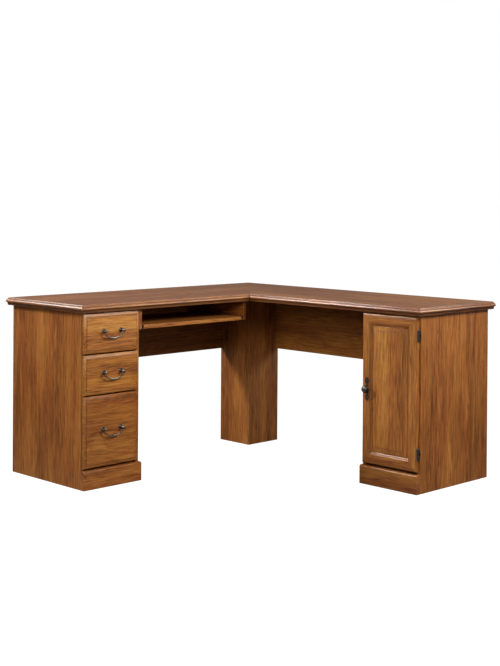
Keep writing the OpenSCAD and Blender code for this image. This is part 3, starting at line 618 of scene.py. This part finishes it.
def door_knob(metal):
    """Turned knob: bolt head, foot with a bead, waisted neck, rounded rim and a polished dome."""
    lo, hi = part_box("door_knob")
    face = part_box("door_frame")[0][1]
    foot = Vector(((lo[0] + hi[0]) / 2, face, (lo[2] + hi[2]) / 2))
    base = [(BOLT_R, 1.6, 0.1), (8.5, 1.6, 0.1), (8.9, 2.2, 0.8), (8.6, 3.0, 0.8), (7.6, 3.5, 0.3)]
    neck = [(6.9, 3.7, 0.0), (6.7, 4.4, 0.5), (6.0, 5.0, 0.4), (5.3, 6.4, 0.1), (5.0, 8.2, 0.1),
            (5.3, 10.0, 0.1), (6.6, 11.0, 0.2), (10.0, 11.3, 0.4), (12.6, 11.45, 0.2)]
    rim = [(r, out, 0.15) for r, out in arc(11, 15.5, 5, -50, 50, 12)]
    # The dome is rubbed brighter towards its middle, wear that also paints a highlight there, and the rim is
    # kept dark, a painted dark reflection
    dome = [(r, out, 0.30 + 0.25 * (1 - r / 14)) for r, out in arc(0, 3.3, 22.5, 54, 88, 12)]
    bm = bmesh.new()
    revolve(bm, foot, -Y, X, [*bolt_head(KNOB_BACK), *base, *neck, *rim, *dome, (0, 25.8, 0.55)], 56)
    piece_from(bm, "door_knob_turned", "door_knob", [metal])


# ---------------------------------------------------------------- scene

make_camera()
bpy.context.scene.view_settings.view_transform = "Standard"
make_lights()
make_floor()

BOARD_ARRIS = 0.7 * MM
DOOR_ARRIS = 0.6 * MM
PLATE_ARRIS = 0.45 * MM
METAL_ARRIS = 0.3 * MM
FIRST_SEED = 12
RAIL_SEED_STEP = 100

# The axis that each board's grain runs along
GRAIN = {
    "left_top_board": "y", "right_top_board": "x",
    "left_front_moulding": "y", "left_end_moulding": "x",
    "right_front_moulding": "x", "right_end_moulding": "y",
    "left_end_panel": "z", "left_inner_panel": "z", "left_bottom_board": "y", "left_base_moulding": "y",
    "right_end_panel": "z", "right_inner_panel": "z", "right_bottom_board": "x", "right_base_moulding": "x",
    "corner_leg_left": "z", "corner_leg_right": "z", "left_modesty_panel": "y", "right_modesty_panel": "x",
    "left_shelf_bracket": "x", "right_shelf_bracket": "x", "keyboard_shelf": "y", "cupboard_shelf": "x",
    "top_rails": "y",
    "upper_drawer_front": "y", "middle_drawer_front": "y", "file_drawer_front": "y",
    "door_frame": "z", "door_panel": "z",
}
SLOT_FINISH_AND_PAINTED_LIGHT = {
    # Painted light: the top is tinted darker than the other boards to offset the strong light on it, and
    # bluer to paint a pinkish sheen
    "oak_top": dict(tint=(0.77, 0.83, 1.30), gloss=0.40, coat=(0.0, 0.2)),
    "oak_moulding": dict(tint=(0.92, 0.92, 1.0), gloss=0.36, coat=(0.12, 0.2)),
    "oak_panel": dict(),
    # Painted sheen: the fronts are tinted paler and bluer than the panels
    "oak_front": dict(tint=(1.06, 1.10, 1.20), gloss=0.38, coat=(0.12, 0.25)),
}
# Bands of painted shade, dark where shade falls in grooves and under steps: from, to and fade. The first
# lies in the groove beside a drawer front's bevel.
QUIRK_PAINTED_SHADE = ((11.4 * MM, 13.6 * MM, 1.6 * MM),)
PANEL_PAINTED_SHADE = ((0.0, 9.6 * MM, 2.2 * MM), (27.6 * MM, 29.2 * MM, 1 * MM))
FRAME_PAINTED_SHADE = ((37.4 * MM, 38.2 * MM, 0.6 * MM), (49.3 * MM, 50.5 * MM, 1 * MM))
# On the top's mouldings: painted shade under the step and in the cove below the swell
EDGE_PAINTED_SHADE = ((5.2 * MM, 6.6 * MM, 0.8 * MM), (20 * MM, 33 * MM, 5 * MM))
EXTRA_FINISH_AND_PAINTED_LIGHT = {
    # Painted light: the upper and middle drawer fronts are tinted paler for the brighter light on them, and
    # the file drawer a little darker
    "upper_drawer_front": dict(painted_shade_inset=QUIRK_PAINTED_SHADE, tint=(1.13, 1.22, 1.35)),
    "middle_drawer_front": dict(painted_shade_inset=QUIRK_PAINTED_SHADE, tint=(1.16, 1.28, 1.30)),
    "file_drawer_front": dict(painted_shade_inset=QUIRK_PAINTED_SHADE, tint=(0.97, 0.99, 1.0)),
    "door_panel": dict(painted_shade_inset=PANEL_PAINTED_SHADE, painted_shade_face=-1),
    "door_frame": dict(painted_shade_inset=FRAME_PAINTED_SHADE, painted_shade_face=-1),
    "left_front_moulding": dict(painted_shade_depth=EDGE_PAINTED_SHADE, coat=(0.5, 0.14)),
    "left_end_moulding": dict(painted_shade_depth=EDGE_PAINTED_SHADE, coat=(1.0, 0.07)),
    "right_front_moulding": dict(painted_shade_depth=EDGE_PAINTED_SHADE, coat=(0.5, 0.14)),
    "right_end_moulding": dict(painted_shade_depth=EDGE_PAINTED_SHADE, coat=(1.0, 0.07)),
}


def on_a_rail(point):
    """1 for a point on the door's rails, 0 for one on its stiles, parted along the mitres."""
    lo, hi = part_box("door_frame")
    return int(min(point[2] - lo[2], hi[2] - point[2]) < min(point[0] - lo[0], hi[0] - point[0]))


for seed, (node, grain) in enumerate(GRAIN.items(), start=FIRST_SEED):
    finish_and_painted_light = {**SLOT_FINISH_AND_PAINTED_LIGHT[NODE_SLOT[node]], **EXTRA_FINISH_AND_PAINTED_LIGHT.get(node, {})}
    material = wood("wood_" + node, grain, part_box(node), seed, **finish_and_painted_light)
    if node == "door_frame":
        rails = wood("wood_door_rails", "x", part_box(node), seed + RAIL_SEED_STEP, **finish_and_painted_light)
        softened(node, DOOR_ARRIS, [material, rails], choose=on_a_rail)
    else:
        softened(node, BOARD_ARRIS, [material])

pewter = aged_pewter("aged_pewter")
shared = {"fibreboard": fibreboard("hardboard"), "drawer_side": drawer_foil("drawer_foil"),
          "bright_steel": plated_steel("zinc_plate"), "dark_steel": black_enamel("black_enamel"),
          "aged_pewter": pewter, "white_plastic": moulded_plastic("white_plastic")}
made = {*GRAIN, "door_knob", "knob_backplate"}
for drawer in DRAWERS:
    pull_posts(drawer, pewter)
    pull_bail(drawer, pewter)
    made |= {drawer + "_pull_posts", drawer + "_pull_bail"}
door_knob(pewter)
softened("knob_backplate", PLATE_ARRIS, [pewter], 3, wear=0.25)
for node, slot in NODE_SLOT.items():
    if node not in made:
        softened(node, METAL_ARRIS, [shared[slot]])
